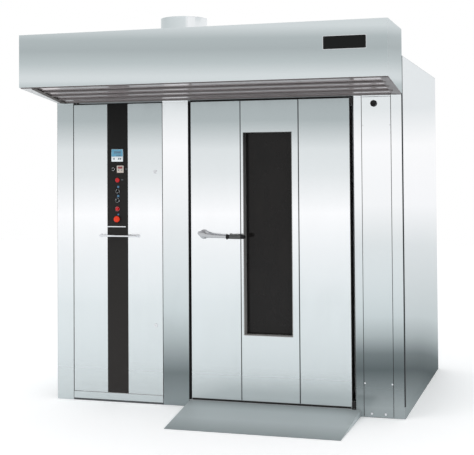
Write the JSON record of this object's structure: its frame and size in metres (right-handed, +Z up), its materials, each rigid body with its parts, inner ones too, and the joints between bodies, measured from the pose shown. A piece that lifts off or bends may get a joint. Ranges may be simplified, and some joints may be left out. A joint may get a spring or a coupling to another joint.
{
  "type": "rotating rack oven",
  "caption": "Walk-in bakery oven with a hinged windowed door, a service bay with controls, a steam hood, a turning rack hook and an entry ramp.",
  "frame": {"origin": "on the floor, under the middle of the whole oven with its ramp", "axes": "+X to the right along the front, +Y from the front to the back, +Z up"},
  "size_m": [2.25, 2.3, 2.385],
  "materials": {
    "steel": "polished stainless sheet with smooth vertical reflections",
    "liner_steel": "plain stainless sheet",
    "frame_steel": "dark paint",
    "galvanised": "galvanised sheet",
    "chrome": "bright chrome",
    "black_strip": "black, low gloss",
    "black_plastic": "matt black",
    "seal_rubber": "matt black",
    "reveal": "dark grey, low gloss",
    "dark_glass": "dark tinted, clear gloss",
    "wool": "mineral wool",
    "blue_paint": "semi-gloss enamel",
    "burner_paint": "semi-gloss enamel",
    "dark_steel": "heat-darkened steel",
    "brass": "plain",
    "controller_plastic": "display front in cyan and white",
    "timer_plastic": "beige",
    "red_plastic": "red",
    "orange_red": "orange-red"
  },
  "bodies": {
    "oven": {"base_frame": "frame_steel", "outer_panels": "steel", "roof_panel": "galvanised", "front_stiles": "steel", "centre_pillar": "steel", "lintel": "steel", "door_frame": "liner_steel", "kick_plate": "frame_steel", "service_panel": "steel", "panel_screws": "chrome", "door_seal": "seal_rubber", "hinge_brackets": "liner_steel", "hood_shell": "steel", "hood_baffles": "liner_steel", "exhaust_collar": "steel", "entry_ramp": "liner_steel", "chamber_floor": "liner_steel", "air_wall": "liner_steel", "chamber_walls": "liner_steel", "bay_bulkhead": "galvanised", "insulation": "wool", "chamber_lamps": "liner_steel", "heat_exchanger": "dark_steel", "flue_pipe": "galvanised", "burner": "burner_paint", "fan_deck": "galvanised", "fan_motor": "blue_paint", "steam_unit": "dark_steel", "drive_stand": "blue_paint", "rack_gearmotor": "blue_paint", "electrics_panel": "galvanised"},
    "main_door": {"door_skin_left": "steel", "door_skin_middle": "steel", "door_skin_right": "steel", "door_edge_frame": "liner_steel", "door_insulation": "wool", "door_liner": "liner_steel", "window_frame": "reveal", "window_glass": "dark_glass"},
    "lever": {"lever_handle": "chrome", "lever_grip": "black_plastic"},
    "service_bay_door": {"bay_door": "steel", "control_strip": "black_strip", "pull_bar": "chrome", "controller": "controller_plastic", "timer": "timer_plastic", "switch_bodies": "chrome", "indicator_lamp": "red_plastic"},
    "rack_carrier": {"drive_shaft": "liner_steel", "rack_hook": "liner_steel"},
    "service_knob": {"service_knob": "black_plastic"},
    "circulation_fan": {"circulation_fan": "liner_steel"},
    "latch_bolt": {"latch_bolt": "liner_steel"},
    "selector_upper": {"selector_upper": "black_plastic"},
    "selector_lower": {"selector_lower": "black_plastic"},
    "push_button": {"push_button": "red_plastic"},
    "emergency_stop": {"emergency_stop": "orange_red"},
    "small_knob": {"small_knob": "black_plastic"},
    "lock_upper": {"lock_upper": "chrome"},
    "lock_lower": {"lock_lower": "chrome"}
  },
  "joints": [
    {"name": "main_door_hinge", "type": "hinge", "parent": "oven", "child": "main_door", "pos_m": [0.8195, -0.545, 1], "axis": [0, 0, 1], "range_deg": [0, 130]},
    {"name": "lever_turn", "type": "hinge", "parent": "main_door", "child": "lever", "pos_m": [-0.116, -0.592, 1.073], "axis": [0, 1, 0], "range_deg": [0, 90]},
    {"name": "latch_slide", "type": "slide", "parent": "main_door", "child": "latch_bolt", "axis": [1, 0, 0], "range_m": [0, 0.008]},
    {"name": "bay_door_hinge", "type": "hinge", "parent": "oven", "child": "service_bay_door", "pos_m": [-0.995, -0.54, 1], "axis": [0, 0, 1], "range_deg": [-110, 0]},
    {"name": "lock_upper_turn", "type": "hinge", "parent": "service_bay_door", "child": "lock_upper", "pos_m": [-0.442, -0.55, 1.463], "axis": [0, 1, 0], "range_deg": [-90, 0]},
    {"name": "lock_lower_turn", "type": "hinge", "parent": "service_bay_door", "child": "lock_lower", "pos_m": [-0.442, -0.55, 0.494], "axis": [0, 1, 0], "range_deg": [-90, 0]},
    {"name": "selector_upper_turn", "type": "hinge", "parent": "service_bay_door", "child": "selector_upper", "pos_m": [-0.6995, -0.55, 1.341], "axis": [0, 1, 0], "range_deg": [-45, 45]},
    {"name": "selector_lower_turn", "type": "hinge", "parent": "service_bay_door", "child": "selector_lower", "pos_m": [-0.6995, -0.55, 1.283], "axis": [0, 1, 0], "range_deg": [-45, 45]},
    {"name": "push_button_press", "type": "slide", "parent": "service_bay_door", "child": "push_button", "axis": [0, 1, 0], "range_m": [0, 0.004], "stiffness_N_per_m": 500, "springref_m": -0.002},
    {"name": "emergency_stop_press", "type": "slide", "parent": "service_bay_door", "child": "emergency_stop", "axis": [0, 1, 0], "range_m": [0, 0.005]},
    {"name": "small_knob_turn", "type": "hinge", "parent": "service_bay_door", "child": "small_knob", "pos_m": [-0.7285, -0.55, 1.482], "axis": [0, 1, 0], "range_deg": [-135, 135]},
    {"name": "service_knob_turn", "type": "hinge", "parent": "oven", "child": "service_knob", "pos_m": [0.955, -0.55, 1.863], "axis": [0, 1, 0], "range_deg": [0, 90]},
    {"name": "rack_spin", "type": "hinge", "parent": "oven", "child": "rack_carrier", "pos_m": [0.302, 0.177, 1.9], "axis": [0, 0, 1], "continuous": true},
    {"name": "circulation_fan_spin", "type": "hinge", "parent": "oven", "child": "circulation_fan", "pos_m": [-0.662, 0.4755, 1.8], "axis": [0, 0, 1], "continuous": true}
  ],
  "couplings": [
    {"joint": "latch_slide", "follows": "lever_turn", "m_per_rad": 0.00509}
  ]
}
